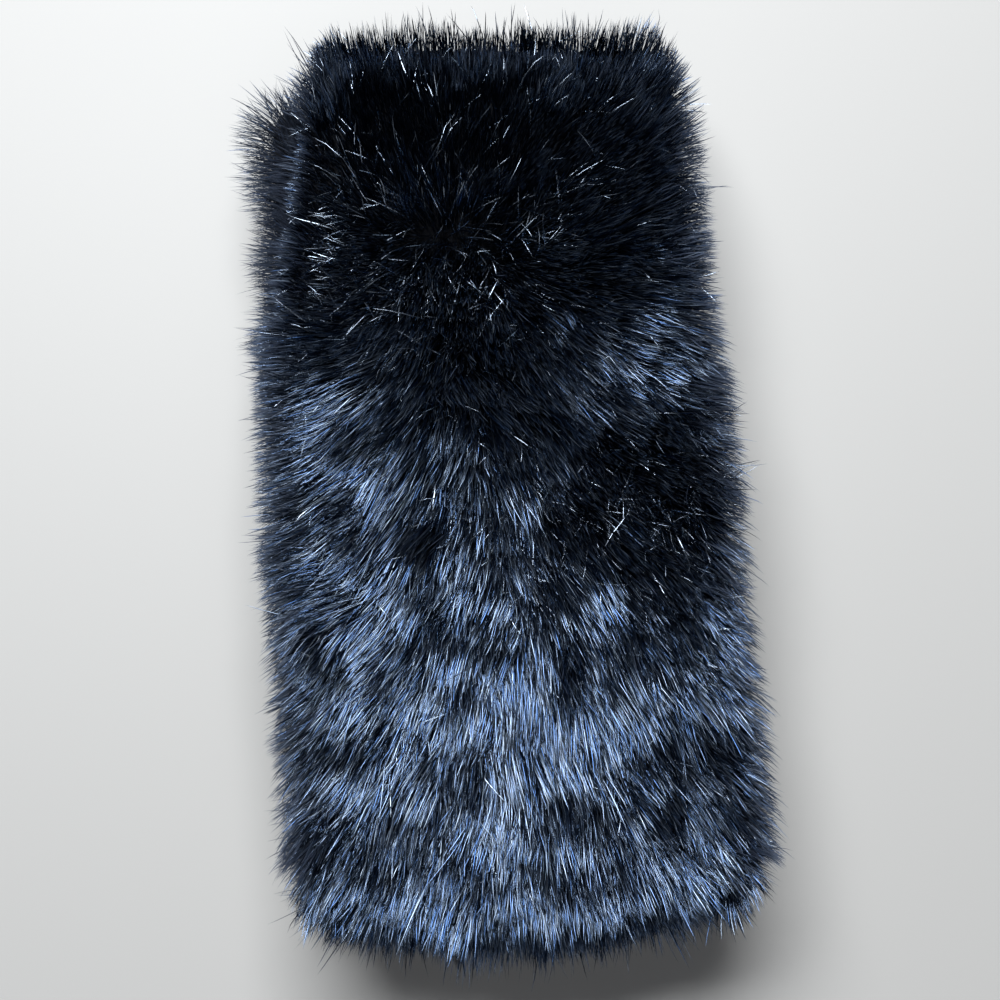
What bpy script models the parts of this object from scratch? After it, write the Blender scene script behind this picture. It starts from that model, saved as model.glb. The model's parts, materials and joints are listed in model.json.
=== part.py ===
"""A faux fur scarf, folded in three and laid flat.

The scarf is one long furry tube. Its upper stretch runs from a free end, at the
back (+Y), to the near turn, where it doubles under. The middle stretch runs back
beneath it to a far turn, and the lowest stretch comes forward again and lies on
the surface. Every solid reaches as far as the pile does. The sizes here are in
millimetres, and loft() makes them metres.
"""

import math
from collections import namedtuple

import bmesh
import bpy

MM = 0.001

# Heights over the surface that the scarf lies on
LOWER_TOP = 20.0
MIDDLE_TOP = 40.0
LAYER_GAP = 0.3

# The round side of a stretch: how far it reaches across, and the share of the
# stretch's height at which it is widest
SIDE_ROUND = 16.0
WIDEST_AT = 0.45
# How deep the groove between the middle and lowest stretches is at the sides
GROOVE_DEPTH = 9.0
# The upper stretch and the near turn swell this much along their middle
CROWN = 3.5
# A round end keeps its corners this square: 2 would be a plain quarter circle
CORNER_SQUARENESS = 3.0

# The upper stretch, from the near turn to its free end
TURN_START = -125.0
FREE_END = 168.0
FREE_END_LENGTH = 24.0
FREE_END_HEIGHT = 50.0
# Past the far turn nothing carries the free end, so it droops
DROOP_START = 130.0
DROOP = 12.0
# The folds fade out over this length from the near turn
FOLD_FADE = 30.0

# The far turn, hidden under the free end but for its left corner
FAR_TURN_START = 120.0
FAR_TURN_END = 150.5

# The lowest stretch's free end, under the near turn
LOWEST_END = -153.0
LOWEST_END_LENGTH = 20.0
LOWEST_END_HEIGHT = 9.0
# Where nothing lies on the lowest stretch, its section keeps a step this high
STEP = 0.02

# Points across a section and down its side, and the spacing of the sections
FLAT_POINTS = 19
SIDE_POINTS = 8
SECTION_STEP = 7.0
END_SECTIONS = 8
TURN_SECTIONS = 16
# How near to its tip the last section of a round end comes
TIP_SHARE = 0.985

Section = namedtuple("Section", "y left right top")

UPPER_SECTIONS = (
    Section(y=TURN_START, left=-69.5, right=89.8, top=60.5),
    Section(y=-100.0, left=-71.5, right=89.3, top=61.5),
    Section(y=-75.0, left=-74.5, right=87.8, top=62.0),
    Section(y=-50.0, left=-77.5, right=84.3, top=61.0),
    Section(y=-25.0, left=-80.4, right=82.3, top=60.5),
    Section(y=0.0, left=-79.8, right=82.2, top=60.0),
    Section(y=25.0, left=-82.3, right=79.9, top=61.0),
    Section(y=50.0, left=-83.2, right=76.2, top=60.5),
    Section(y=75.0, left=-80.4, right=73.9, top=59.5),
    Section(y=100.0, left=-78.0, right=72.0, top=60.0),
    Section(y=125.0, left=-76.0, right=70.8, top=60.5),
    Section(y=FREE_END, left=-75.2, right=70.4, top=60.0),
)

# The middle stretch, which shows past the upper one's left edge at the back
MIDDLE_SECTIONS = (
    Section(y=TURN_START, left=-68.0, right=84.0, top=MIDDLE_TOP),
    Section(y=-75.0, left=-73.5, right=81.0, top=MIDDLE_TOP),
    Section(y=-25.0, left=-78.5, right=76.0, top=MIDDLE_TOP),
    Section(y=25.0, left=-83.0, right=71.5, top=MIDDLE_TOP),
    Section(y=65.0, left=-88.5, right=66.0, top=MIDDLE_TOP),
    Section(y=100.0, left=-91.5, right=63.0, top=MIDDLE_TOP),
    Section(y=FAR_TURN_END, left=-94.4, right=60.5, top=MIDDLE_TOP),
)

# The lowest stretch, which lies a little askew under the middle one
LOWEST_SECTIONS = (
    Section(y=LOWEST_END, left=-70.5, right=80.5, top=LOWER_TOP),
    Section(y=-75.0, left=-76.0, right=78.0, top=LOWER_TOP),
    Section(y=0.0, left=-81.5, right=74.0, top=LOWER_TOP),
    Section(y=65.0, left=-86.0, right=68.5, top=LOWER_TOP),
    Section(y=FAR_TURN_END, left=-92.0, right=62.0, top=LOWER_TOP),
)

Reach = namedtuple("Reach", "x reach")

# How far the near turn stands out in front of its start, from left to right
TURN_REACHES = (
    Reach(x=-70.0, reach=27.0),
    Reach(x=-58.0, reach=28.5),
    Reach(x=-48.0, reach=32.0),
    Reach(x=-30.0, reach=34.0),
    Reach(x=0.0, reach=35.4),
    Reach(x=20.0, reach=35.2),
    Reach(x=46.0, reach=30.8),
    Reach(x=65.0, reach=25.4),
    Reach(x=82.0, reach=17.8),
    Reach(x=90.0, reach=15.5),
)

Fold = namedtuple("Fold", "x y angle length width height")

# Soft hollows and swells of the upper stretch: the middle of each, the way it runs
# in degrees from +X, its half length and half width, and its height, which is
# below 0 for a hollow
FOLDS = (
    Fold(x=-22.0, y=58.0, angle=-16.0, length=58.0, width=15.0, height=-4.6),
    Fold(x=46.0, y=-28.0, angle=-24.0, length=50.0, width=13.0, height=-4.2),
    Fold(x=-34.0, y=16.0, angle=18.0, length=40.0, width=14.0, height=2.4),
    Fold(x=42.0, y=34.0, angle=-30.0, length=44.0, width=17.0, height=2.6),
    Fold(x=0.0, y=-66.0, angle=8.0, length=46.0, width=18.0, height=2.8),
    Fold(x=44.0, y=-92.0, angle=-14.0, length=30.0, width=10.0, height=-2.8),
    Fold(x=-46.0, y=-88.0, angle=24.0, length=26.0, width=9.0, height=-2.4),
    Fold(x=20.0, y=118.0, angle=20.0, length=52.0, width=20.0, height=2.0),
    Fold(x=-50.0, y=104.0, angle=76.0, length=34.0, width=13.0, height=-2.4),
)

Look = namedtuple("Look", "color roughness")
UPPER_LOOK = Look(color=(0.020, 0.022, 0.034), roughness=0.55)
TURN_LOOK = Look(color=(0.024, 0.027, 0.040), roughness=0.55)
UNDER_LOOK = Look(color=(0.030, 0.028, 0.032), roughness=0.65)

# One stretch where a section cuts it: its edges and its heights
Lobe = namedtuple("Lobe", "left right low high")


def clear_scene():
    """Remove whatever the scene holds."""
    for old in list(bpy.data.objects):
        bpy.data.objects.remove(old)


def ease(share):
    """Go from 0 to 1 with a slow start and a slow end."""
    share = min(max(share, 0.0), 1.0)
    return share * share * (3.0 - 2.0 * share)


def quarter(share, squareness=2.0):
    """Height of a round end, 1 where it starts and 0 at its tip."""
    share = min(max(share, 0.0), 1.0)
    return (1.0 - share**squareness) ** (1.0 / squareness)


def read_table(table, place):
    """Read a table at any place of its first column, straight between its rows."""
    place = min(max(place, table[0][0]), table[-1][0])
    for near, far in zip(table, table[1:]):
        if place <= far[0]:
            break
    share = (place - near[0]) / (far[0] - near[0])
    return type(near)(*[a + (b - a) * share for a, b in zip(near, far)])


def places(start, end, step):
    """Evenly spaced places from start to end."""
    count = round(abs(end - start) / step)
    return [start + (end - start) * i / count for i in range(count + 1)]


def end_places(start, end):
    """Places along a round end, closer together towards its tip."""
    turns = [0.5 * math.pi * TIP_SHARE * i / END_SECTIONS for i in range(1, END_SECTIONS + 1)]
    return [start + (end - start) * math.sin(turn) for turn in turns]


def drawn_in(lobe, share, height):
    """A lobe on the way to the tip of a round end that closes at a height."""
    rounding = quarter(share)
    inset = SIDE_ROUND * (1.0 - quarter(share, CORNER_SQUARENESS))
    low = height + (lobe.low - height) * rounding
    high = height + (lobe.high - height) * rounding
    return Lobe(lobe.left + inset, lobe.right - inset, low, high)


def flat(lobe, height, crown=0.0):
    """Points across a lobe, from left to right, swollen by the crown."""
    start, end = lobe.left + SIDE_ROUND, lobe.right - SIDE_ROUND
    points = []
    for i in range(FLAT_POINTS):
        share = i / (FLAT_POINTS - 1)
        swell = (1.0 - (2.0 * share - 1.0) ** 2) ** 2
        points.append((start + (end - start) * share, height + crown * swell))
    return points


def side(lobe, way, groove_above=None, groove_below=None):
    """Points down a lobe's right side (way 1) or left side (way -1). A groove holds
    the half that faces it no further in than its depth."""
    edge = lobe.right if way > 0 else lobe.left
    widest = lobe.low + (lobe.high - lobe.low) * WIDEST_AT
    points = []
    for i in range(1, SIDE_POINTS + 1):
        angle = math.pi * i / (SIDE_POINTS + 1)
        rise = math.cos(angle)
        inset = SIDE_ROUND * (1.0 - math.sin(angle))
        limit = groove_above if rise > 0 else groove_below
        if limit is not None:
            inset = min(inset, limit)
        span = lobe.high - widest if rise > 0 else widest - lobe.low
        points.append((edge - way * inset, widest + rise * span))
    return points


def slab(lobe, crown=0.0):
    """The outline of one lobe alone."""
    top, bottom = flat(lobe, lobe.high, crown), flat(lobe, lobe.low)
    return top + side(lobe, 1) + bottom[::-1] + side(lobe, -1)[::-1]


def stack(middle, lowest, middle_groove, lowest_groove):
    """The outline of the middle lobe on the lowest one, grooved between them."""
    right = side(middle, 1, groove_below=middle_groove)
    right += side(lowest, 1, groove_above=lowest_groove)
    left = side(middle, -1, groove_below=middle_groove)
    left += side(lowest, -1, groove_above=lowest_groove)
    bottom = flat(lowest, lowest.low)
    return flat(middle, middle.high) + right + bottom[::-1] + left[::-1]


def loft(name, rings, look, collection):
    """Join rings of equal length into one closed body."""
    work = bmesh.new()
    rows = []
    for ring in rings:
        rows.append([work.verts.new([value * MM for value in point]) for point in ring])
    count = len(rings[0])
    for near, far in zip(rows, rows[1:]):
        for i in range(count):
            j = (i + 1) % count
            work.faces.new((near[i], near[j], far[j], far[i]))
    work.faces.new(rows[0][::-1])
    work.faces.new(rows[-1])
    bmesh.ops.recalc_face_normals(work, faces=work.faces)
    bmesh.ops.triangulate(work, faces=work.faces)
    mesh = bpy.data.meshes.new(name)
    work.to_mesh(mesh)
    work.free()
    mesh.shade_smooth()
    mesh.materials.append(fur_material(name, look))
    piece = bpy.data.objects.new(name, mesh)
    collection.objects.link(piece)
    return piece


def fur_material(name, look):
    """A dark, dull material in one piece's own colour."""
    made = bpy.data.materials.new(name)
    made.use_nodes = True
    shader = made.node_tree.nodes["Principled BSDF"]
    shader.inputs["Base Color"].default_value = (*look.color, 1.0)
    shader.inputs["Roughness"].default_value = look.roughness
    shader.inputs["Metallic"].default_value = 0.0
    return made


def fold_height(x, y):
    """Sum the folds' heights at a point of the upper stretch."""
    total = 0.0
    for fold in FOLDS:
        turn = math.radians(fold.angle)
        along = (x - fold.x) * math.cos(turn) + (y - fold.y) * math.sin(turn)
        across = (y - fold.y) * math.cos(turn) - (x - fold.x) * math.sin(turn)
        distance = (along / fold.length) ** 2 + (across / fold.width) ** 2
        total += fold.height * math.exp(-distance)
    return total


def upper_stretch(collection):
    """The stretch on top, with its folds and its round free end."""
    low = MIDDLE_TOP + LAYER_GAP
    end_start = FREE_END - FREE_END_LENGTH
    rings = []
    for y in places(TURN_START, end_start, SECTION_STEP) + end_places(end_start, FREE_END):
        section = read_table(UPPER_SECTIONS, y)
        end_share = max(0.0, (y - end_start) / FREE_END_LENGTH)
        whole = Lobe(section.left, section.right, low, section.top)
        lobe = drawn_in(whole, end_share, FREE_END_HEIGHT)
        fade = ease((y - TURN_START) / FOLD_FADE) * (1.0 - ease(end_share))
        droop = DROOP * ease((y - DROOP_START) / (FREE_END - DROOP_START))
        ring = []
        for x, z in slab(lobe, CROWN * quarter(end_share)):
            lift = (z - lobe.low) / (lobe.high - lobe.low)
            ring.append((x, y, z + fade * lift**2 * fold_height(x, y) - droop))
        rings.append(ring)
    return loft("upper_stretch", rings, UPPER_LOOK, collection)


def near_turn(collection):
    """The round of the fold in front, where the upper stretch doubles under."""
    axis_height = MIDDLE_TOP + LAYER_GAP / 2
    start = read_table(UPPER_SECTIONS, TURN_START)
    end = read_table(MIDDLE_SECTIONS, TURN_START)
    upper_radius = start.top - axis_height
    lower_radius = axis_height - LOWER_TOP - LAYER_GAP
    rings = []
    for i in range(TURN_SECTIONS + 1):
        share = i / TURN_SECTIONS
        angle = math.pi * share
        radius = upper_radius + (lower_radius - upper_radius) * ease(share)
        left = start.left + (end.left - start.left) * share
        right = start.right + (end.right - start.right) * share
        ring = []
        for x, out in slab(Lobe(left, right, LAYER_GAP, radius), CROWN * max(0.0, math.cos(angle))):
            reach = read_table(TURN_REACHES, x).reach * out / radius * math.sin(angle)
            ring.append((x, TURN_START - LAYER_GAP - reach, axis_height + out * math.cos(angle)))
        rings.append(ring)
    return loft("near_turn", rings, TURN_LOOK, collection)


def under_layers(collection):
    """The two hidden stretches and the far turn between them, as one rounded
    solid that is layered at its edges and flat where it rests."""
    rings = lowest_end_rings() + stacked_rings()
    return loft("under_layers", rings, UNDER_LOOK, collection)


def lowest_end_rings():
    """Sections of the lowest stretch alone, from its free end to the near turn."""
    end_start = LOWEST_END + LOWEST_END_LENGTH
    rings = []
    for y in end_places(end_start, LOWEST_END)[::-1] + [end_start, TURN_START - STEP]:
        section = read_table(LOWEST_SECTIONS, y)
        share = max(0.0, (end_start - y) / LOWEST_END_LENGTH)
        whole = Lobe(section.left, section.right, 0.0, section.top - STEP)
        lobe = drawn_in(whole, share, LOWEST_END_HEIGHT)
        cover = Lobe(lobe.left + GROOVE_DEPTH, lobe.right - GROOVE_DEPTH, lobe.high, lobe.high + STEP)
        rings.append([(x, y, z) for x, z in stack(cover, lobe, 0.0, GROOVE_DEPTH)])
    return rings


def stacked_rings():
    """Sections of both hidden stretches, from the near turn to the far turn's tip."""
    straight = places(TURN_START, FAR_TURN_START, SECTION_STEP)
    rings = []
    for y in straight + end_places(FAR_TURN_START, FAR_TURN_END):
        over, under = read_table(MIDDLE_SECTIONS, y), read_table(LOWEST_SECTIONS, y)
        share = max(0.0, (y - FAR_TURN_START) / (FAR_TURN_END - FAR_TURN_START))
        middle = drawn_in(Lobe(over.left, over.right, LOWER_TOP, over.top), share, LOWER_TOP)
        lowest = drawn_in(Lobe(under.left, under.right, 0.0, LOWER_TOP), share, LOWER_TOP)
        groove = GROOVE_DEPTH * quarter(share)
        rings.append([(x, y, z) for x, z in stack(middle, lowest, groove, groove)])
    return rings


def centre_over_origin(pieces):
    """Move the pieces so that the middle of the scarf's box is over the origin."""
    corners = [vertex.co for piece in pieces for vertex in piece.data.vertices]
    for axis in (0, 1):
        lowest = min(corner[axis] for corner in corners)
        highest = max(corner[axis] for corner in corners)
        for piece in pieces:
            piece.location[axis] = -(lowest + highest) / 2


def main():
    clear_scene()
    collection = bpy.data.collections.new("faux_fur_scarf")
    bpy.context.scene.collection.children.link(collection)
    centre_over_origin([upper_stretch(collection), near_turn(collection), under_layers(collection)])


main()
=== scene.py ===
import json
import math

import bmesh
import bpy
import numpy as np
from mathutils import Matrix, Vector, kdtree

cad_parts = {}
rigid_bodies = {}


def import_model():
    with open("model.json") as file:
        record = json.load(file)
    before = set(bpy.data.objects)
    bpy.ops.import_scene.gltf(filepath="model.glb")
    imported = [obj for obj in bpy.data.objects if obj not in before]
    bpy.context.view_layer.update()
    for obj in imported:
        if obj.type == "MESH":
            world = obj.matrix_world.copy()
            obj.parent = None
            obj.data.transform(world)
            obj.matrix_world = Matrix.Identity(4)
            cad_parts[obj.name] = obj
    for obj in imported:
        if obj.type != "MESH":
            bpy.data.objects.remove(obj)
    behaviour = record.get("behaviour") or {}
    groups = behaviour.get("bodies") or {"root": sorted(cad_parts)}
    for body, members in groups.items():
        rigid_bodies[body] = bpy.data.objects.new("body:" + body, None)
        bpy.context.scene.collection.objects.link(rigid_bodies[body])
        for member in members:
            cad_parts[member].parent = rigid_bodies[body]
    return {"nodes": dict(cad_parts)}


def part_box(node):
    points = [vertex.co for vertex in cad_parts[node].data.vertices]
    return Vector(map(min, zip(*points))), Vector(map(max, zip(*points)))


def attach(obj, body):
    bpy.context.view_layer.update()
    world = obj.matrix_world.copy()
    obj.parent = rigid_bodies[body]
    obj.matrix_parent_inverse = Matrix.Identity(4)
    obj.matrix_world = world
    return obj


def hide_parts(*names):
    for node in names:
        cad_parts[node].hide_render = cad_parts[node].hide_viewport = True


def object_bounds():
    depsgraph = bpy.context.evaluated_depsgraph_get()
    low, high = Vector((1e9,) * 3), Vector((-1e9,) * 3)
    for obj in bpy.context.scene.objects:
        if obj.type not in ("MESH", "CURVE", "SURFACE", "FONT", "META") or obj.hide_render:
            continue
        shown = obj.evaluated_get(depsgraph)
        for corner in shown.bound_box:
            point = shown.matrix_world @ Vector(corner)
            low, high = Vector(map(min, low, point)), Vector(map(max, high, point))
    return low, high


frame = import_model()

cadBox = [list(corner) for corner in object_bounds()]
mm = 0.001
nudge = 1e-9  # keeps a direction from vanishing
tiny = 1e-12  # keeps a length from being 0


# Small maths

def ease(low, high, value):
    share = np.clip((value - low) / (high - low), 0.0, 1.0)
    return share * share * (3.0 - 2.0 * share)


def unit(vectors):
    return vectors / np.maximum(np.linalg.norm(vectors, axis=-1, keepdims=True), tiny)


def nearness(points, x, y, across, along):
    # 1 at a spot, fading out over its reaches; the spot is in mm
    fromX = (points[:, 0] / mm - x) / across
    fromY = (points[:, 1] / mm - y) / along
    return np.exp(-(fromX ** 2 + fromY ** 2))


def waves(points, length, seed, count=14, lengths=(0.7, 1.6)):
    # slow random swells over the fur, about 0 on average and 1 strong
    draw = np.random.default_rng(seed)
    headings = unit(draw.normal(size=(count, 3)))
    pitches = 2.0 * math.pi / (length * draw.uniform(lengths[0], lengths[1], count))
    phases = draw.uniform(0.0, 2.0 * math.pi, count)
    total = np.sin((points @ headings.T) * pitches + phases).sum(axis=1)
    return total / math.sqrt(count / 2.0)


def addObject(name, data):
    item = bpy.data.objects.new(name, data)
    bpy.context.scene.collection.objects.link(item)
    return item


# Materials

class Wire:
    # one node output; Python's operators on it add Math nodes

    def __init__(self, graph, socket):
        self.graph = graph
        self.socket = socket

    def maths(self, operation, first, second=0.0):
        return self.graph.node("ShaderNodeMath", {"operation": operation}, {0: first, 1: second})

    def __add__(self, other):
        return self.maths("ADD", self, other)

    __radd__ = __add__

    def __sub__(self, other):
        return self.maths("SUBTRACT", self, other)

    def __rsub__(self, other):
        return self.maths("SUBTRACT", other, self)

    def __mul__(self, other):
        return self.maths("MULTIPLY", self, other)

    __rmul__ = __mul__

    def __pow__(self, other):
        return self.maths("POWER", self, other)

    def floor(self):
        return self.maths("FLOOR", self)

    def over(self, limit):
        return self.maths("GREATER_THAN", self, limit)


class Graph:
    # one material and its nodes

    def __init__(self, name):
        self.material = bpy.data.materials.new(name)
        self.material.use_nodes = True
        self.tree = self.material.node_tree
        self.tree.nodes.clear()

    def node(self, kind, settings=None, sockets=None, out=0):
        made = self.tree.nodes.new(kind)
        for key, value in (settings or {}).items():
            if key == "stops":
                self.setStops(made.color_ramp, value)
            else:
                setattr(made, key, value)
        for key, value in (sockets or {}).items():
            if isinstance(value, Wire):
                self.tree.links.new(value.socket, made.inputs[key])
            else:
                made.inputs[key].default_value = value
        return Wire(self, made.outputs[out])

    def setStops(self, ramp, stops):
        while len(ramp.elements) < len(stops):
            ramp.elements.new(0.5)
        for element, (place, colour) in zip(ramp.elements, stops):
            element.position = place
            element.color = colour

    def mixColour(self, share, first, second):
        return self.node("ShaderNodeMix", {"data_type": "RGBA"}, {0: share, 6: first, 7: second}, out=2)

    def finish(self, shader):
        surface = self.tree.nodes.new("ShaderNodeOutputMaterial")
        self.tree.links.new(shader.socket, surface.inputs["Surface"])
        return self.material


fibreMap = dict(
    columns=192,               # a strand's map column, which gives it its own shade
    chance=0.5, second=977.5,  # seeds of a column's two random numbers
    edges=(0.2, 0.8), middle=0.5, root=0.02, length=0.96,  # where a ribbon lies in its column
)


def furFibre(name, look):
    # a fibre's map runs across from strand to strand and up from its root to its tip
    graph = Graph(name)
    place = graph.node("ShaderNodeUVMap", {"uv_map": "OFBake"})
    across = graph.node("ShaderNodeSeparateXYZ", None, {0: place}, out=0)
    along = graph.node("ShaderNodeSeparateXYZ", None, {0: place}, out=1)
    strand = (across * fibreMap["columns"]).floor()
    noise = {"noise_dimensions": "1D"}
    chance = graph.node("ShaderNodeTexWhiteNoise", noise, {"W": strand + fibreMap["chance"]})
    second = graph.node("ShaderNodeTexWhiteNoise", noise, {"W": strand + fibreMap["second"]})
    body = graph.node("ShaderNodeValToRGB", {"stops": look["body"]}, {0: along})
    tips = graph.node("ShaderNodeValToRGB", {"stops": look["tipFade"]}, {0: along})
    tipped = graph.mixColour(tips * second * look["tipShare"], body, look["tip"])
    glossy = chance.over(1.0 - look["glossyShare"]) * (1.0 - tips * look["dullTips"])
    gloss = graph.mixColour(second ** look["glossBias"], look["glossLow"], look["glossHigh"])
    shader = graph.node("ShaderNodeBsdfPrincipled", None, {
        "Base Color": graph.mixColour(glossy, tipped, gloss),
        "Metallic": glossy,
        "Roughness": second * look["roughSpread"] + look["rough"],
        "IOR": look["ior"],
        "Specular IOR Level": look["specular"],
        "Specular Tint": look["sheenTint"],
    })
    return graph.finish(shader)


def rgb(red, green, blue):
    return (red, green, blue, 1.0)


def stops(root, middle, tip):
    # a strand's colours from its root to its tip
    return ((0.0, rgb(*root)), (0.6, rgb(*middle)), (1.0, rgb(*tip)))


darkPile = dict(
    body=stops((0.0002, 0.0004, 0.0012), (0.0004, 0.0010, 0.0032), (0.0008, 0.0018, 0.0060)),
    tipFade=((0.80, rgb(0.0, 0.0, 0.0)), (1.0, rgb(1.0, 1.0, 1.0))),
    tip=rgb(0.0036, 0.0046, 0.0084), tipShare=0.8, dullTips=0.6,
    glossyShare=0.90, glossBias=1.3,
    glossLow=rgb(0.030, 0.060, 0.132), glossHigh=rgb(0.160, 0.192, 0.240),
    rough=0.18, roughSpread=0.10, ior=1.5, specular=0.5, sheenTint=rgb(0.55, 0.75, 1.0),
)
# the same fur, paler and duller for the rim and steep sides: partly the grey-brown underfur, partly
# painted light where fine hair shows pale
rimPilePaintedLight = dict(
    darkPile,
    body=stops((0.001, 0.001, 0.003), (0.014, 0.019, 0.033), (0.040, 0.050, 0.078)),
    tip=rgb(0.043, 0.044, 0.060), tipShare=0.9,
    glossyShare=0.12, glossHigh=rgb(0.14, 0.17, 0.22),
    rough=0.36, roughSpread=0.20, sheenTint=rgb(0.70, 0.82, 1.0),
)
# paler still for the layers below: the same fur, its grey look painted light, with some of the underfur's
# grey-brown
hazePilePaintedLight = dict(
    rimPilePaintedLight,
    body=stops((0.001, 0.001, 0.003), (0.016, 0.020, 0.032), (0.040, 0.049, 0.072)),
    tip=rgb(0.050, 0.054, 0.070), glossyShare=0.08,
)
glintPile = dict(
    darkPile,
    dullTips=0.5, glossyShare=0.85, glossBias=1.7,
    glossLow=rgb(0.06, 0.075, 0.10), glossHigh=rgb(0.62, 0.70, 0.82),
    rough=0.16, roughSpread=0.08,
)

knitLook = dict(
    low=rgb(0.0016, 0.0017, 0.0024), high=rgb(0.0050, 0.0052, 0.0075),
    mottleScale=220.0, mottleDetail=4.0, knitScale=1400.0, knitDetail=2.0,
    bump=0.6, bumpDepth=0.6 * mm, rough=0.75, roughSpread=0.2, specular=0.2,
)


def clothBacking(name, look):
    # the knitted ground that the pile stands on, seen only deep between the strands
    graph = Graph(name)
    place = graph.node("ShaderNodeNewGeometry", None, None, out=0)
    mottle = graph.node("ShaderNodeTexNoise", None, {
        "Vector": place, "Scale": look["mottleScale"], "Detail": look["mottleDetail"]})
    knit = graph.node("ShaderNodeTexNoise", None, {
        "Vector": place, "Scale": look["knitScale"], "Detail": look["knitDetail"]})
    bump = graph.node("ShaderNodeBump", None, {
        "Strength": look["bump"], "Distance": look["bumpDepth"], "Height": knit})
    shader = graph.node("ShaderNodeBsdfPrincipled", None, {
        "Base Color": graph.mixColour(mottle, look["low"], look["high"]),
        "Roughness": mottle * look["roughSpread"] + look["rough"],
        "Normal": bump,
        "Specular IOR Level": look["specular"],
    })
    return graph.finish(shader)


# The cloth under the pile

backing = dict(
    standing=12.0 * mm,  # the depth of the pile where nothing presses on it
    pressed=3.4 * mm,    # and between two layers
    wall=1.6 * mm,
    smoothing=3, smoothShare=0.5,
    weld=0.001 * mm, onPlane=0.01 * mm,  # how close points count as one, or as on a cut
)


def openSolid(node, cutPlanes):
    # a CAD solid as one welded mesh, without its flat faces where it meets its neighbour
    work = bmesh.new()
    work.from_mesh(frame["nodes"][node].data)
    bmesh.ops.remove_doubles(work, verts=work.verts, dist=backing["weld"])
    for plane in cutPlanes:
        caps = [f for f in work.faces if all(abs(v.co.y - plane) < backing["onPlane"] for v in f.verts)]
        bmesh.ops.delete(work, geom=caps, context="FACES")
    bmesh.ops.recalc_face_normals(work, faces=work.faces)
    work.normal_update()
    return work


def growCloth(name, node, cutPlanes, sideways, isPressed, material):
    # a solid's own form, set in by the depth of the pile
    work = openSolid(node, cutPlanes)
    moves = []
    for vert in work.verts:
        normal = vert.normal.copy()
        if any(abs(vert.co.y - plane) < backing["onPlane"] for plane in cutPlanes):
            normal.y = 0.0  # a cut edge stays on its plane, so the cloth runs on in the next piece
            normal.normalize()
        flatness = abs(normal.z)
        depth = sideways + (backing["standing"] - sideways) * flatness
        pressed = isPressed(vert.co, normal)
        depth += (backing["pressed"] - depth) * pressed
        moves.append(vert.co - normal * depth)
    for vert, place in zip(work.verts, moves):
        vert.co = place
    inner = [v for v in work.verts if not v.is_boundary]
    everyWay = dict(use_axis_x=True, use_axis_y=True, use_axis_z=True)
    for _ in range(backing["smoothing"]):
        bmesh.ops.smooth_vert(work, verts=inner, factor=backing["smoothShare"], **everyWay)
    work.normal_update()
    mesh = bpy.data.meshes.new(name)
    work.to_mesh(mesh)
    work.free()
    mesh.shade_smooth()
    mesh.materials.append(material)
    cloth = addObject(name, mesh)
    wall = cloth.modifiers.new("wall", "SOLIDIFY")
    wall.thickness = backing["wall"]
    wall.offset = -1.0
    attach(cloth, "root")
    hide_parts(node)
    return cloth


# How the pile is combed

def band(y, left, right, ways, lifts):
    return dict(y=y, left=left, right=right, ways=ways, lifts=lifts)


comb = [  # from the free end to the near turn: y and both edges in mm, then ways and lifts in degrees
    band(152, -72, 70, (132, 108, 95, 86, 76, 60, 42), (50, 70, 78, 80, 78, 70, 56)),
    band(122, -75, 72, (160, 112, 84, 58, 46, 33, 12), (52, 72, 74, 66, 56, 52, 46)),
    band(96, -77, 73, (174, 150, 105, 52, 38, 23, 2), (50, 64, 76, 68, 60, 50, 42)),
    band(66, -80, 75, (184, 208, 270, 292, 338, 344, 350), (40, 58, 68, 66, 50, 32, 34)),
    band(38, -82, 78, (188, 199, 240, 286, 304, 321, 330), (20, 16, 22, 38, 11, 17, 33)),
    band(20, -81, 80, (192, 206, 246, 289, 306, 320, 328), (22, 12, 12, 28, 12, 17, 35)),
    band(5, -80, 82, (195, 212, 250, 290, 307, 318, 325), (22, 13, 18, 28, 40, 56, 34)),
    band(-26, -79, 84, (197, 213, 240, 272, 296, 311, 322), (14, 12, 18, 16, 46, 62, 33)),
    band(-38, -78, 85, (201, 217, 245, 270, 288, 304, 319), (13, 9, 10, 9, 28, 42, 26)),
    band(-52, -76, 86, (206, 222, 250, 269, 280, 296, 316), (9, 9, 9, 8, 12, 22, 17)),
    band(-86, -72, 89, (216, 234, 256, 269, 281, 296, 318), (10, 14, 10, 9, 15, 17, 21)),
    band(-120, -69, 91, (228, 246, 260, 271, 284, 299, 320), (18, 23, 19, 20, 25, 27, 23)),
    band(-152, -62, 84, (236, 254, 264, 273, 283, 296, 316), (24, 30, 31, 31, 31, 32, 32)),
]
bands = sorted(comb, key=lambda row: row["y"])
bandPlaces = np.array([row["y"] for row in bands]) * mm

dips = [  # where the pile stands up out of the sheen: places and reaches in mm, and the lift it adds
    dict(x=8, y=-48, across=5, along=4, lift=7),
    dict(x=37, y=-79, across=9, along=6, lift=14),
    dict(x=-17, y=-64, across=9, along=5, lift=14),
    dict(x=66, y=-98, across=14, along=7, lift=24),
    dict(x=-40, y=-38, across=7, along=6, lift=10),
    dict(x=-34, y=8, across=8, along=6, lift=16),
    dict(x=-46, y=-94, across=11, along=7, lift=26),
    dict(x=-8, y=-104, across=12, along=5, lift=12),
    dict(x=38, y=-114, across=16, along=7, lift=8),
    dict(x=-58, y=-66, across=6, along=8, lift=16),
]

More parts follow.
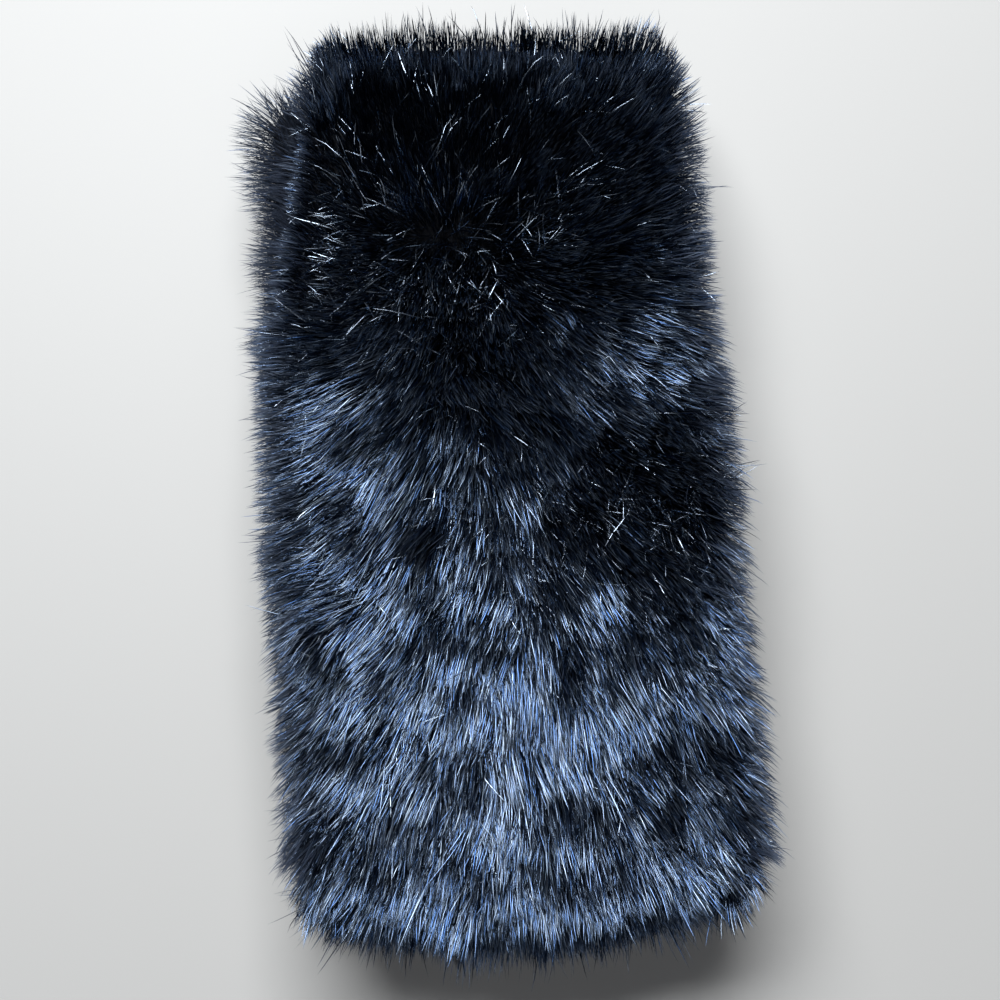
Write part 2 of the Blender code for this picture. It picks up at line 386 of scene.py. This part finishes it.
reaches = [  # where the outline wants longer or shorter pile: places and reaches in mm
    dict(x=-82, y=128, reach=16, grow=0.6),
    dict(x=-70, y=154, reach=13, grow=-0.6),
    dict(x=70, y=150, reach=15, grow=-0.45),
    dict(x=-84, y=24, reach=16, grow=-0.3),
    dict(x=-82, y=-24, reach=26, grow=-0.2),
    dict(x=-80, y=-70, reach=30, grow=-0.25),
    dict(x=82, y=70, reach=24, grow=-0.2),
    dict(x=86, y=-50, reach=34, grow=-0.3),
    dict(x=90, y=-108, reach=30, grow=-0.25),
    dict(x=-64, y=-150, reach=18, grow=0.2),
]


def edgesAt(ys):
    return [np.interp(ys, bandPlaces, [row[side] * mm for row in bands]) for side in ("left", "right")]


def combedAt(points):
    # the way that the pile lies, as a flat vector, and how far its tips lift
    lefts, rights = edgesAt(points[:, 1])
    ways = np.radians([row["ways"] for row in bands])
    table = np.stack([np.cos(ways), np.sin(ways), np.array([row["lifts"] for row in bands])], axis=-1)
    columns = table.shape[1] - 1
    row = np.clip(np.searchsorted(bandPlaces, points[:, 1]) - 1, 0, len(bandPlaces) - 2)
    up = (points[:, 1] - bandPlaces[row]) / (bandPlaces[row + 1] - bandPlaces[row])
    up = np.clip(up, 0.0, 1.0)[:, None]
    across = np.clip((points[:, 0] - lefts) / (rights - lefts), 0.0, 1.0) * columns
    column = np.minimum(across.astype(int), columns - 1)
    over = (across - column)[:, None]
    low = table[row, column] * (1.0 - over) + table[row, column + 1] * over
    high = table[row + 1, column] * (1.0 - over) + table[row + 1, column + 1] * over
    mixed = low * (1.0 - up) + high * up
    flow = np.zeros((len(points), 3))
    flow[:, :2] = unit(mixed[:, :2])
    lifts = mixed[:, 2]
    for dip in dips:
        lifts = lifts + dip["lift"] * nearness(points, dip["x"], dip["y"], dip["across"], dip["along"])
    return flow, lifts


# Growing strands

growth = dict(  # what all the piles share
    swayOver=26.0 * mm, liftOver=18.0 * mm,  # how long the slow swells in way and in lift are
    lengthOver=9.0 * mm, lengthSwell=0.10, lengthWaves=10,  # the same for length, and their strength
    tipLifts=(2.0, 84.0), rootLifts=(20.0, 88.0),  # the least and the most, in degrees
    rootFollows=0.62, rootScatter=5.0,  # a root's share of its tip's lift, and degrees at random
    standing=(25.0, 70.0), standingTrim=0.36,  # from which lift on strands are shorter, and by how much
    lengths=(0.78, 1.06), guardLengths=(1.15, 1.5),  # how lengths vary, and those of the longest few
    stepAcross=(48.0, 58.0), stepNear=(40.0, 56.0), stepFar=(112.0, 136.0),  # where leftTrim holds, in mm
)


def clothSample(cloth, count, weigh, seed):
    # roots spread over a cloth by area, with their normals
    mesh = cloth.data
    mesh.calc_loop_triangles()
    corners = np.zeros(len(mesh.loop_triangles) * 3, np.int32)
    mesh.loop_triangles.foreach_get("vertices", corners)
    corners = corners.reshape(-1, 3)
    places = np.zeros(len(mesh.vertices) * 3)
    mesh.vertices.foreach_get("co", places)
    places = places.reshape(-1, 3)
    normals = np.zeros(len(mesh.vertices) * 3)
    mesh.vertices.foreach_get("normal", normals)
    normals = normals.reshape(-1, 3)
    a, b, c = (places[corners[:, i]] for i in range(3))
    faceNormals = np.cross(b - a, c - a)
    areas = np.linalg.norm(faceNormals, axis=1) / 2.0
    chances = areas * weigh((a + b + c) / 3.0, unit(faceNormals))
    draw = np.random.default_rng(seed)
    chosen = draw.choice(len(areas), count, p=chances / chances.sum())
    first, second = np.sqrt(draw.random(count)), draw.random(count)
    shares = np.stack([1.0 - first, first * (1.0 - second), first * second], axis=1)[:, :, None]
    roots = (places[corners[chosen]] * shares).sum(axis=1)
    return roots, unit((normals[corners[chosen]] * shares).sum(axis=1))


def laidOver(flow, normals, leastUp):
    # turns a level way with the cloth's own slope, so that the pile runs down over an edge
    slope = normals.copy()
    slope[:, 2] = np.maximum(slope[:, 2], leastUp)
    slope = unit(slope)
    along = (slope[:, :2] * flow[:, :2]).sum(axis=1)[:, None]
    level = flow[:, :2] - slope[:, :2] * along / (1.0 + slope[:, 2:3])
    return unit(np.concatenate([level, -along], axis=1))


def strandWays(roots, normals, pile, draw, seed):
    # the way each strand lies on the cloth, and the lift that the comb gives it
    flow, lifts = combedAt(roots)
    flow, lifts = combedAt(roots + flow * pile["showsAt"])  # a strand shows beyond its root
    if pile["outward"] > 0.0:
        out = normals.copy()
        out[:, 2] = 0.0
        flow = unit(flow * (1.0 - pile["outward"]) + unit(out + nudge) * pile["outward"])
    sway = waves(roots, growth["swayOver"], seed + 1) * pile["swirl"]
    turn = np.radians(sway + draw.normal(0.0, pile["scatter"], len(roots)))
    flow = np.stack([
        flow[:, 0] * np.cos(turn) - flow[:, 1] * np.sin(turn),
        flow[:, 0] * np.sin(turn) + flow[:, 1] * np.cos(turn),
        flow[:, 2]], axis=1)
    return laidOver(flow, normals, pile["leastUp"]), lifts


def strandLifts(roots, lifts, pile, draw, seed):
    # how far each strand stands up from the cloth at its tip and its root, in degrees
    swell = waves(roots, growth["liftOver"], seed + 2) * pile["liftSwell"]
    tipLift = lifts * pile["liftShare"] + swell + draw.normal(0.0, pile["liftScatter"], len(roots))
    tipLift = np.clip(tipLift, *growth["tipLifts"])
    scatter = draw.normal(0.0, growth["rootScatter"], len(roots))
    rootLift = pile["rise"] + growth["rootFollows"] * tipLift + scatter
    return tipLift, np.clip(rootLift, *growth["rootLifts"])


def strandLengths(roots, upright, tipLift, pile, draw, seed):
    count = len(roots)
    x, y = roots[:, 0] / mm, roots[:, 1] / mm
    standing = ease(*growth["standing"], tipLift)
    length = pile["length"] * draw.uniform(*growth["lengths"], count)
    length *= 1.0 - growth["standingTrim"] * standing
    isGuard = draw.random(count) < pile["guardShare"]
    length *= np.where(isGuard, draw.uniform(*growth["guardLengths"], count), 1.0)
    atStep = ease(*growth["stepAcross"], -x) * ease(*growth["stepNear"], y)
    length *= 1.0 - pile["leftTrim"] * atStep * (1.0 - ease(*growth["stepFar"], y))
    length *= 1.0 - (1.0 - upright) * draw.uniform(*pile["edgeTrim"], count)
    swell = waves(roots, growth["lengthOver"], seed + 3, growth["lengthWaves"])
    length *= 1.0 + growth["lengthSwell"] * swell
    for spot in reaches:
        length *= 1.0 + spot["grow"] * nearness(roots, spot["x"], spot["y"], spot["reach"], spot["reach"])
    return length


def strandLines(roots, normals, pile, seed):
    # every strand's points from root to tip, as one array
    draw = np.random.default_rng(seed)
    count = len(roots)
    upright = np.clip(normals[:, 2:3], 0.0, 1.0)
    flow, lifts = strandWays(roots, normals, pile, draw, seed)
    tipLift, rootLift = strandLifts(roots, lifts, pile, draw, seed)
    length = strandLengths(roots, upright[:, 0], tipLift, pile, draw, seed)
    tipLift, rootLift = np.radians(tipLift)[:, None], np.radians(rootLift)[:, None]
    sag = np.array([0.0, 0.0, -1.0]) * pile["sag"] * (1.0 - upright)
    start = unit(flow * np.cos(rootLift) + normals * np.sin(rootLift))
    end = unit(flow * np.cos(tipLift) + normals * np.sin(tipLift) + sag)
    side = unit(np.cross(start, normals) + nudge)
    bow = draw.normal(0.0, pile["bow"], count)[:, None]
    swing = draw.normal(0.0, pile["wave"], (count, 2))
    phase = draw.uniform(0.0, 2.0 * math.pi, (count, 1))
    shares = np.array(pile["stations"])
    lines = np.zeros((count, len(shares), 3))
    lines[:, 0] = roots
    for i in range(1, len(shares)):
        middle = ((shares[i] + shares[i - 1]) / 2.0) ** pile["bend"]
        kinks = swing * np.sin(phase + middle * pile["waviness"]) * middle
        heading = start * (1.0 - middle) + end * middle + side * (bow * middle + kinks[:, :1])
        heading += normals * kinks[:, 1:]
        lines[:, i] = lines[:, i - 1] + unit(heading) * (length * (shares[i] - shares[i - 1]))[:, None]
    return lines


gathered = dict(atRim=0.1, fullAt=(0.5, 0.97))  # a pull's share at the outline, and where it is whole


def gather(lines, upright, pile, kind, seed):
    # draw the strands round each leader together towards its tip, less so at the outline
    draw = np.random.default_rng(seed)
    leaders = draw.choice(len(lines), max(1, len(lines) // pile[kind + "Of"]), replace=False)
    tree = kdtree.KDTree(len(leaders))
    for i, leader in enumerate(leaders):
        tree.insert(lines[leader, 0], i)
    tree.balance()
    nearest = leaders[[tree.find(root)[1] for root in lines[:, 0]]]
    whole = gathered["atRim"] + (1.0 - gathered["atRim"]) * ease(*gathered["fullAt"], upright[leaders])
    pulls = np.zeros(len(lines))
    pulls[leaders] = draw.uniform(*pile[kind + "Pull"], len(leaders)) * whole
    offsets = (lines[:, 0] - lines[nearest, 0])[:, None, :] * pile[kind + "Spread"]
    shares = np.array(pile["stations"])[None, :, None] ** pile[kind + "Power"]
    return lines + (lines[nearest] + offsets - lines) * shares * pulls[nearest][:, None, None]


rimCut = dict(
    starts=1.0 * mm, full=9.0 * mm,  # how far past the outline
    least=0.15, most=0.60,           # the shares of a strand that go
)


def shornAtRim(lines, slack, seed):
    # strands that stand far past the outline are cut back, so that the rim stays soft and even
    lefts, rights = edgesAt(lines[:, -1, 1])
    past = np.maximum(lefts - lines[:, -1, 0], lines[:, -1, 0] - rights) - slack
    cutBack = np.random.default_rng(seed).uniform(rimCut["least"], rimCut["most"], len(lines))
    keep = 1.0 - cutBack * ease(rimCut["starts"], rimCut["full"], past)
    return lines[:, :1] + (lines - lines[:, :1]) * keep[:, None, None]


margin = dict(
    side=9.0 * mm, top=6.0 * mm,  # how far pile may stand past the solids' box
    floor=0.25 * mm,              # and how near the surface under it may come
)


def keepInside(lines):
    # above the surface that the scarf lies on, and no further out than stray pile may stand
    low = np.array(cadBox[0]) - margin["side"]
    high = np.array(cadBox[1]) + margin["side"]
    low[2] = margin["floor"]
    high[2] = cadBox[1][2] + margin["top"]
    return np.clip(lines, low, high)


def combedPile(cloth, pile, weigh):
    seed = pile["seed"]
    roots, normals = clothSample(cloth, pile["strands"], weigh, seed)
    lines = strandLines(roots, normals, pile, seed + 10)
    upright = np.clip(normals[:, 2], 0.0, 1.0)
    for i, kind in enumerate(("wisp", "tuft")):
        lines = gather(lines, upright, pile, kind, seed + 20 + i)
    return keepInside(shornAtRim(lines, pile["rimSlack"], seed + 22)), normals


# Strands as ribbons

ribbon = dict(
    facesOut=0.6, facesUp=0.5, turned=0.28,  # its flat side follows the cloth, up and chance
    roundness=0.5,                    # how far its edges' normals turn away, to shade like a fibre
    widths=(0.75, 1.25),              # how widths vary
    finest=0.5, fullAt=(0.3, 0.85),   # the share left at the outline, and where they are whole
)


def ribbonSides(lines, normals, draw):
    # the way each ribbon's flat side faces along its length, and the way across it
    tangents = np.zeros_like(lines)
    tangents[:, 1:-1] = lines[:, 2:] - lines[:, :-2]
    tangents[:, 0] = lines[:, 1] - lines[:, 0]
    tangents[:, -1] = lines[:, -1] - lines[:, -2]
    tangents = unit(tangents)
    upward = np.array([0.0, 0.0, ribbon["facesUp"]])
    turned = draw.normal(0.0, ribbon["turned"], (len(lines), 3))
    facing = unit(normals * ribbon["facesOut"] + upward + turned)[:, None, :]
    facing = unit(facing - tangents * (facing * tangents).sum(axis=2, keepdims=True))
    return facing, np.cross(tangents, facing)


def paired(left, right, tip):
    # both edges' values in turn from the root on, then the tip's
    count, rows = left.shape[:2]
    return np.concatenate([np.stack([left, right], axis=2).reshape(count, rows * 2, 3), tip], axis=1)


def mapRibbons(mesh, loops, count, perStrand, pile, draw):
    columns = fibreMap["columns"]
    column = draw.integers(0, columns, count)
    shares = np.array(pile["stations"])
    along = np.concatenate([np.repeat(shares[:-1], 2), shares[-1:]])
    across = list(fibreMap["edges"]) * (len(shares) - 1) + [fibreMap["middle"]]
    maps = np.zeros((count, perStrand, 2))
    maps[:, :, 0] = (column[:, None] + np.array(across)[None, :]) / columns
    maps[:, :, 1] = (along * fibreMap["length"] + fibreMap["root"])[None, :]
    layer = mesh.uv_layers.new(name="OFBake")
    layer.data.foreach_set("uv", maps.reshape(-1, 2)[loops].astype(np.float32).ravel())


def ribbonMesh(name, lines, normals, pile, seed):
    # each strand as a narrow tapering ribbon whose edge normals turn outward
    draw = np.random.default_rng(seed)
    count, stations = lines.shape[:2]
    rows = stations - 1
    perStrand = rows * 2 + 1
    facing, sides = ribbonSides(lines, normals, draw)
    fine = ribbon["finest"] + (1.0 - ribbon["finest"]) * ease(*ribbon["fullAt"], normals[:, 2])
    widths = pile["width"] * (draw.uniform(*ribbon["widths"], count) * fine)[:, None]
    widths = widths * np.array(pile["widths"])[None, :]
    half = sides[:, :-1] * widths[:, :, None] / 2.0
    points = paired(lines[:, :-1] - half, lines[:, :-1] + half, lines[:, -1:])
    turned = sides[:, :-1] * ribbon["roundness"]
    shading = paired(unit(facing[:, :-1] - turned), unit(facing[:, :-1] + turned), facing[:, -1:])
    quads = [(2 * i, 2 * i + 1, 2 * i + 3, 2 * i + 2) for i in range(rows - 1)]
    pattern = np.array([v for quad in quads for v in quad] + [2 * rows - 2, 2 * rows - 1, 2 * rows])
    loops = (np.arange(count)[:, None] * perStrand + pattern[None, :]).ravel()
    sizes = np.tile([4] * (rows - 1) + [3], count)
    starts = np.concatenate([[0], np.cumsum(sizes)[:-1]])
    mesh = bpy.data.meshes.new(name)
    mesh.vertices.add(count * perStrand)
    mesh.vertices.foreach_set("co", points.astype(np.float32).ravel())
    mesh.loops.add(len(loops))
    mesh.loops.foreach_set("vertex_index", loops.astype(np.int32))
    mesh.polygons.add(len(sizes))
    mesh.polygons.foreach_set("loop_start", starts.astype(np.int32))
    mesh.update(calc_edges=True)
    mapRibbons(mesh, loops, count, perStrand, pile, draw)
    mesh.shade_smooth()
    mesh.normals_split_custom_set_from_vertices(shading.reshape(-1, 3).astype(np.float32))
    return mesh


def addPile(name, lines, normals, pile, material, seed):
    mesh = ribbonMesh(name, lines, normals, pile, seed)
    mesh.materials.append(material)
    piece = addObject(name, mesh)
    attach(piece, "root")
    return piece


rimBlur = dict(slope=0.13, inward=4.0 * mm)  # how unevenly the rim's pile gives way to the rest


def addPiles(lines, normals, pile, inner, rim):
    # strands at the rim are duller and paler than the rest, partly painted light, and no piece gets too
    # heavy
    seed = pile["seed"]
    noise = np.random.default_rng(seed + 30).normal(0.0, 1.0, len(normals))
    lefts, rights = edgesAt(lines[:, -1, 1])
    inward = np.minimum(lines[:, -1, 0] - lefts, rights - lines[:, -1, 0])
    onSlope = normals[:, 2] + noise * rimBlur["slope"] < pile["rimBelow"]
    atRim = onSlope | (inward + noise * rimBlur["inward"] < pile["rimWithin"])
    order = np.argsort(lines[:, 0, 1])
    order = order[~atRim[order]]
    made = []
    parts = np.array_split(order, len(pile["pieces"]))
    for i, (name, part) in enumerate(zip(pile["pieces"], parts)):
        made.append(addPile(name, lines[part], normals[part], pile, inner, seed + 31 + i))
    if atRim.any():
        made.append(addPile(pile["rimPiece"], lines[atRim], normals[atRim], pile, rim, seed + 40))
    return made


def addFur(cloth, piles, weigh, inner, rim):
    made = []
    for pile in piles:
        lines, normals = combedPile(cloth, pile, weigh)
        made += addPiles(lines, normals, pile, inner, rim)
    return made


# The three lengths of the scarf

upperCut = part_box("upper_stretch")[0].y
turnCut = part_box("near_turn")[1].y
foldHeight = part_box("under_layers")[1].z

groundCloth = clothBacking("backing_knit", knitLook)
darkFibre = furFibre("pile_dark", darkPile)
rimFibrePaintedLight = furFibre("pile_rim_painted_light", rimPilePaintedLight)
hazeFibrePaintedLight = furFibre("pile_haze_painted_light", hazePilePaintedLight)
glintFibre = furFibre("pile_glint", glintPile)

upperPile = dict(
    seed=100, strands=82000, pieces=("upperPileFront", "upperPileBack"), rimPiece="upperPileRim",
    rimBelow=0.66, rimWithin=5.0 * mm,  # the rim: cloth as steep as this, or tips as near the outline
    rimSlack=0.0,  # how much further out pile may stand before it is shorn
    stations=(0.0, 0.40, 0.72, 1.0), widths=(0.9, 1.0, 0.8), width=0.28 * mm,
    length=19.0 * mm, showsAt=11.0 * mm, guardShare=0.0,
    edgeTrim=(0.1, 0.7), leftTrim=0.5,  # shares cut off at the outline, and beside the layers below
    outward=0.0, leastUp=0.62, swirl=7.0, scatter=9.0, rise=36.0, bend=0.85,
    liftShare=1.0, liftSwell=8.0, liftScatter=5.0, sag=0.35, bow=0.22, wave=0.12, waviness=4.0,
    wispOf=9, wispPull=(0.05, 0.38), wispSpread=0.25, wispPower=1.2,
    tuftOf=90, tuftPull=(0.05, 0.40), tuftSpread=0.35, tuftPower=1.7,
)
upperGuard = dict(
    upperPile,
    seed=150, strands=21000, pieces=("upperGuardFront", "upperGuardBack"), rimPiece="upperGuardRim",
    stations=(0.0, 0.20, 0.40, 0.60, 0.82, 1.0), widths=(0.7, 0.95, 1.0, 0.85, 0.55), width=0.38 * mm,
    length=25.0 * mm, guardShare=0.10, edgeTrim=(0.42, 0.94), scatter=6.0, rise=46.0, bend=0.65,
    liftScatter=4.0, bow=0.16, wave=0.10, wispOf=7, wispPull=(0.1, 0.55), tuftOf=60,
)
upperForm = dict(
    sideways=20.0 * mm,     # the pile's depth at the long edges
    facesDown=(0.2, 0.7),   # where the layer below starts to press, and presses fully
    bareBelow=-0.3, underEdge=0.55,  # underneath, pile grows only near the edges, and thinner
    ends=(-130.0 * mm, 165.0 * mm), left=(-56.0 * mm, -62.0 * mm), right=(76.0 * mm, 60.0 * mm),
    freeEnd=128.0 * mm,
)


def upperCloth():
    form = upperForm
    cloth = growCloth(
        "upperCloth", "upper_stretch", [upperCut], form["sideways"],
        lambda place, normal: float(ease(*form["facesDown"], -normal.z)), groundCloth)

    def weigh(centres, faceNormals):
        left = np.interp(centres[:, 1], form["ends"], form["left"])
        right = np.interp(centres[:, 1], form["ends"], form["right"])
        nearEdge = (centres[:, 0] < left) | (centres[:, 0] > right) | (centres[:, 1] > form["freeEnd"])
        under = np.where(nearEdge, form["underEdge"], 0.0)
        return np.where(faceNormals[:, 2] > form["bareBelow"], 1.0, under)

    return cloth, addFur(cloth, (upperPile, upperGuard), weigh, darkFibre, rimFibrePaintedLight)


noRim = dict(rimBelow=-2.0, rimWithin=-1.0)  # all of the pile has one finish
overTurn = dict(noRim, leastUp=1.0, outward=0.15, sag=-0.12, swirl=8.0, edgeTrim=(0.25, 0.85))
turnPile = dict(
    {**upperPile, **overTurn}, seed=200, strands=15000, pieces=("turnPile",), length=16.0 * mm)
turnGuard = dict(
    {**upperGuard, **overTurn}, seed=250, strands=4600, pieces=("turnGuard",), length=20.0 * mm)
turnForm = dict(
    sideways=19.0 * mm, facesDown=(0.4, 0.9), foldGap=2.0 * mm,
    bareInside=-0.2, underneath=-0.6, underShare=0.4,  # the fold's inside is bare, its underside thinner
)


def turnCloth():
    form = turnForm
    inner = Vector((0.0, turnCut, foldHeight))

    def pressed(place, normal):
        towardFold = place - inner
        towardFold.x = 0.0
        facesFold = 1.0 if towardFold.length < form["foldGap"] else 0.0
        return max(facesFold, float(ease(*form["facesDown"], -normal.z)))

    cloth = growCloth(
        "turnCloth", "near_turn", [turnCut], form["sideways"], pressed, groundCloth)

    def weigh(centres, faceNormals):
        fold = centres - np.array(inner)[None, :]
        fold[:, 0] = 0.0
        faces = (unit(fold) * faceNormals).sum(axis=1)
        shares = np.where(faceNormals[:, 2] < form["underneath"], form["underShare"], 1.0)
        return np.where(faces > form["bareInside"], shares, 0.0)

    return cloth, addFur(cloth, (turnPile, turnGuard), weigh, darkFibre, rimFibrePaintedLight)


fromBetween = dict(
    noRim, rimSlack=22.0 * mm, leftTrim=0.0, edgeTrim=(0.0, 0.45), outward=0.8, sag=0.3, swirl=10.0)
underPile = dict(
    {**upperPile, **fromBetween}, seed=300, strands=30000, pieces=("underPile",), length=18.5 * mm)
underGuard = dict(
    {**upperGuard, **fromBetween}, seed=350, strands=2400, pieces=("underGuard",), length=19.5 * mm,
    width=0.30 * mm)
underForm = dict(
    sideways=15.0 * mm, facesFlat=(0.45, 0.85),  # the flatter a face, the harder it is pressed
    level=0.75, underneath=0.25, covered=0.15,   # on level faces pile is thin, below and above
    showing=1.2, showsLeftOf=-52.0 * mm, showsBeyond=20.0 * mm,  # but not at the corner that shows
)


def underCloth():
    form = underForm
    cloth = growCloth(
        "underCloth", "under_layers", [], form["sideways"],
        lambda place, normal: float(ease(*form["facesFlat"], abs(normal.z))), groundCloth)

    def weigh(centres, faceNormals):
        shows = (centres[:, 0] < form["showsLeftOf"]) & (centres[:, 1] > form["showsBeyond"])
        above = np.where(shows, form["showing"], form["covered"])
        fringe = np.where(faceNormals[:, 2] < 0.0, form["underneath"], above)
        return np.where(np.abs(faceNormals[:, 2]) < form["level"], 1.0, fringe)

    # the layers below take the paler finish throughout, partly painted light
    return cloth, addFur(cloth, (underPile, underGuard), weigh, hazeFibrePaintedLight, hazeFibrePaintedLight)


strayPile = dict(
    upperGuard, seed=400, strands=2700, length=19.5 * mm, edgeTrim=(0.3, 0.8), swirl=14.0, scatter=30.0,
    rise=56.0, liftShare=0.25, liftScatter=14.0, sag=0.3, bow=0.8, wave=0.35,
    zones=((-32, 68, 36, 28), (34, -16, 36, 22)),  # the dark zones: centres and reaches in mm
    elsewhere=0.08, bareBelow=-0.2,
)


def strayHairs(cloth):
    # long loose hairs that lie across the rest
    pile = strayPile

    def weigh(centres, faceNormals):
        shares = np.zeros(len(centres))
        for zone in pile["zones"]:
            shares = np.maximum(shares, nearness(centres, *zone))
        return np.where(faceNormals[:, 2] > pile["bareBelow"], pile["elsewhere"] + shares, 0.0)

    seed = pile["seed"]
    roots, normals = clothSample(cloth, pile["strands"], weigh, seed)
    lines = keepInside(strandLines(roots, normals, pile, seed + 10))
    return addPile("strayHairs", lines, normals, pile, glintFibre, seed + 30)


upper, upperPiles = upperCloth()
print("upper stretch made")
turn, turnPiles = turnCloth()
print("near turn made")
under, underPiles = underCloth()
print("under layers made")
strays = strayHairs(upper)
print("stray hairs made")

upperPiles + [strays]


# Floor, light and camera

stage = dict(
    floorSize=4.0, floorColour=rgb(0.46, 0.44, 0.415), floorRough=0.6,
    worldColour=rgb(0.12, 0.45, 1.0), worldStrength=0.018,
)


def addFloor():
    work = bmesh.new()
    bmesh.ops.create_grid(work, x_segments=1, y_segments=1, size=stage["floorSize"] / 2.0)
    mesh = bpy.data.meshes.new("floor")
    work.to_mesh(mesh)
    work.free()
    graph = Graph("pale_floor")
    shader = graph.node("ShaderNodeBsdfPrincipled", None, {
        "Base Color": stage["floorColour"], "Roughness": stage["floorRough"]})
    mesh.materials.append(graph.finish(shader))
    addObject("floor", mesh)


def addWorld():
    world = bpy.data.worlds.new("studio")
    world.use_nodes = True
    back = world.node_tree.nodes["Background"]
    back.inputs["Color"].default_value = stage["worldColour"]
    back.inputs["Strength"].default_value = stage["worldStrength"]
    bpy.context.scene.world = world


window = dict(  # the large light beyond the free end, which makes the sheen
    place=(-0.2, 0.78, 1.25), target=(0.0, 0.0, 0.03), size=(1.2, 0.6),
    power=46.0, colour=(0.90, 0.95, 1.0),
)
room = dict(  # and a faint one in front
    place=(0.2, -0.85, 1.15), target=(0.0, -0.1, 0.02), size=(1.2, 0.6),
    power=3.2, colour=(0.95, 0.97, 1.0),
)


def addLight(name, place, target, size, power, colour):
    lamp = bpy.data.lights.new(name, "AREA")
    lamp.shape = "RECTANGLE"
    lamp.size, lamp.size_y = size
    lamp.energy = power
    lamp.color = colour
    light = addObject(name, lamp)
    light.location = place
    light.rotation_euler = (Vector(target) - Vector(place)).to_track_quat("-Z", "Y").to_euler()


view = dict(
    focus=(1.6 * mm, -3.4 * mm, 0.0),  # the point of the surface at the picture's middle
    distance=487.0 * mm, tilt=10.59, focalPixels=1300.0, frame=1000.0, sensor=36.0, nearest=10.0 * mm,
)


def addCamera():
    lens = bpy.data.cameras.new("camera")
    lens.sensor_width = view["sensor"]
    lens.lens = view["focalPixels"] / view["frame"] * view["sensor"]
    lens.clip_start = view["nearest"]
    tilt = math.radians(view["tilt"])
    camera = addObject("camera", lens)
    back = Vector((0.0, -math.sin(tilt), math.cos(tilt)))
    camera.location = Vector(view["focus"]) + back * view["distance"]
    camera.rotation_euler = (tilt, 0.0, 0.0)
    bpy.context.scene.camera = camera


addFloor()
addWorld()
addLight("window", **window)
addLight("room", **room)
addCamera()
bpy.context.scene.view_settings.view_transform = "Standard"
cycles = bpy.context.scene.cycles
cycles.use_denoising = True
cycles.max_bounces = 3
cycles.diffuse_bounces = 2
cycles.glossy_bounces = 2
cycles.sample_clamp_direct = 4.0
cycles.sample_clamp_indirect = 2.0
print("stage set")

triangles = {}
for item in bpy.data.objects:
    if item.type == "MESH" and not item.hide_render:
        triangles[item.name] = sum(len(p.vertices) - 2 for p in item.data.polygons)
print("triangles", sum(triangles.values()), triangles)
